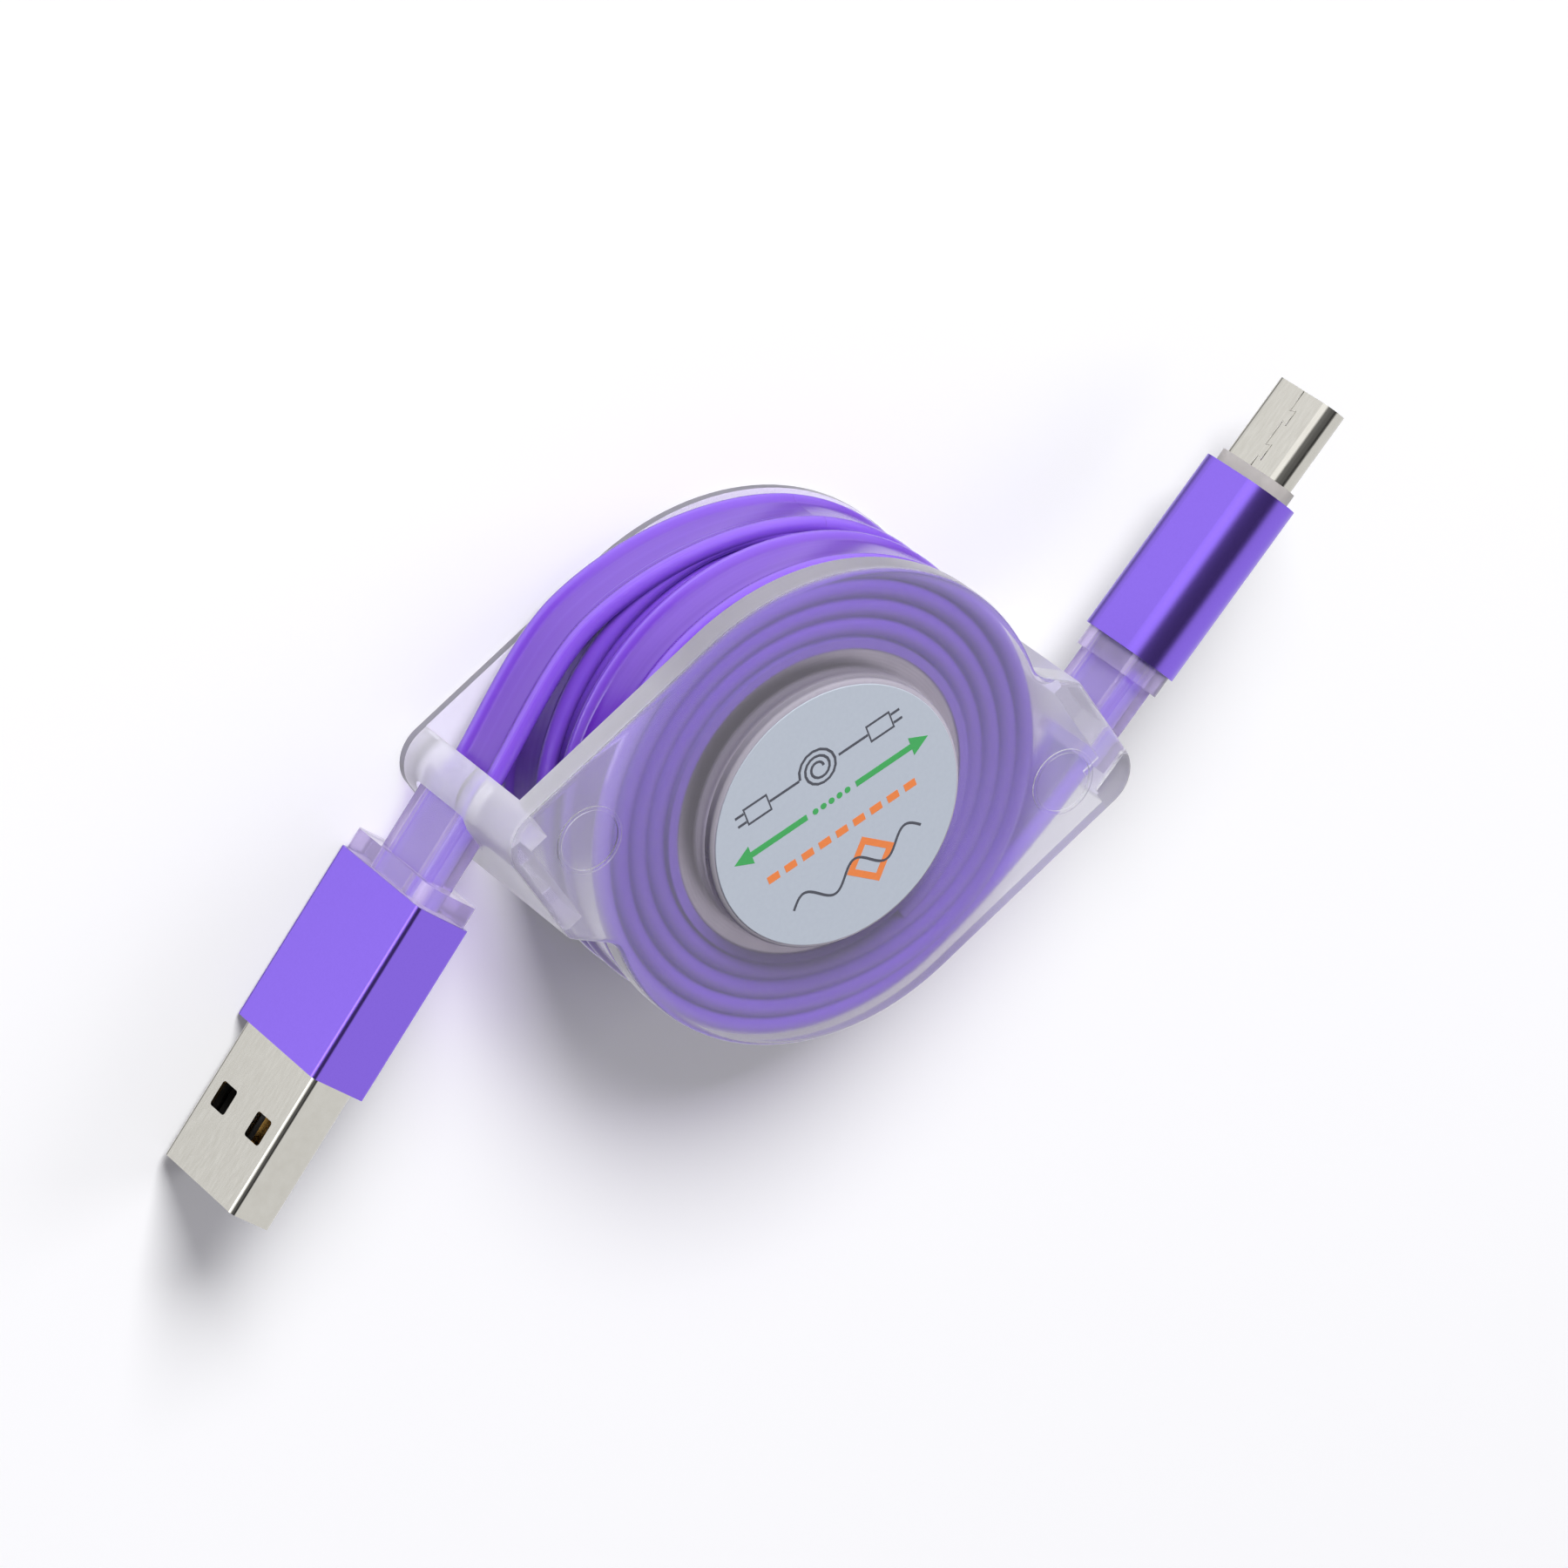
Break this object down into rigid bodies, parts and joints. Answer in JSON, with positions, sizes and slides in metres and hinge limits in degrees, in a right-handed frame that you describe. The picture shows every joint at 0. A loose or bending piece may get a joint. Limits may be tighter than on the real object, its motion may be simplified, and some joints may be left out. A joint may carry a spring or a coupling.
{
  "type": "retractable charging cable",
  "caption": "Flat charging cable on a clear spring-wound reel with open sides; a type-A plug and a type-C plug pull out from opposite sides.",
  "frame": {"origin": "on the spool axis at the rear cover's outer face, which the reel lies on", "axes": "+Z along the spool axis out of the labelled front cover, +X along the covers' long straight edges towards the type-C plug"},
  "size_m": [0.1184, 0.0466, 0.02],
  "materials": {
    "clear_cover": "clear, slightly hazy moulding",
    "clear_boot": "clear soft moulding",
    "label_paper": "satin printed label",
    "cable_jacket": "translucent glossy flat cable",
    "drum_plastic": "moulded",
    "spring_steel": "rolled strip",
    "pawl_plastic": "moulded",
    "purple_sleeve": "satin anodised",
    "plug_metal": "bright nickel plate",
    "black_insulator": "moulded",
    "gold_contact": "gold plate",
    "white_core": "moulded",
    "pale_collar": "translucent moulding",
    "green_board": "board with solder mask"
  },
  "bodies": {
    "housing": {"rear_cover": "clear_cover", "front_cover": "clear_cover", "front_label": "label_paper", "cable_lead_a": "cable_jacket", "cable_lead_c": "cable_jacket"},
    "spool": {"spool_drum": "drum_plastic", "mainspring": "spring_steel", "winding_rear": "cable_jacket", "winding_front": "cable_jacket"},
    "pawl": {"ratchet_pawl": "pawl_plastic"},
    "plug_a": {"plug_a_boot": "clear_boot", "plug_a_sleeve": "purple_sleeve", "plug_a_core": "white_core", "plug_a_shell": "plug_metal", "plug_a_tongue": "black_insulator", "plug_a_contacts": "gold_contact"},
    "plug_c": {"plug_c_boot": "clear_boot", "plug_c_sleeve": "purple_sleeve", "plug_c_core": "white_core", "plug_c_board": "green_board", "plug_c_collar": "pale_collar", "plug_c_shell": "plug_metal", "plug_c_liner": "black_insulator", "plug_c_contacts": "gold_contact"}
  },
  "joints": [
    {"name": "spool_spin", "type": "hinge", "parent": "housing", "child": "spool", "pos_m": [0, 0, 0], "axis": [0, 0, 1], "range_deg": [0, 720], "stiffness_Nm_per_rad": 0.0004, "springref_deg": -572.96, "deforming": ["mainspring"]},
    {"name": "plug_a_pull", "type": "slide", "parent": "housing", "child": "plug_a", "axis": [-0.9432, -0.3322, 0], "range_m": [0, 0.2337], "deforming": ["cable_lead_a"]},
    {"name": "plug_c_pull", "type": "slide", "parent": "housing", "child": "plug_c", "axis": [0.9694, 0.2453, 0], "range_m": [0, 0.2337], "deforming": ["cable_lead_c"]},
    {"name": "pawl_rock", "type": "hinge", "parent": "housing", "child": "pawl", "pos_m": [-0.00424, -0.01165, 0], "axis": [0, 0, 1], "range_deg": [-3, 3]}
  ],
  "couplings": [
    {"joint": "plug_a_pull", "follows": "spool_spin", "m_per_rad": 0.0186},
    {"joint": "plug_c_pull", "follows": "spool_spin", "m_per_rad": 0.0186}
  ]
}
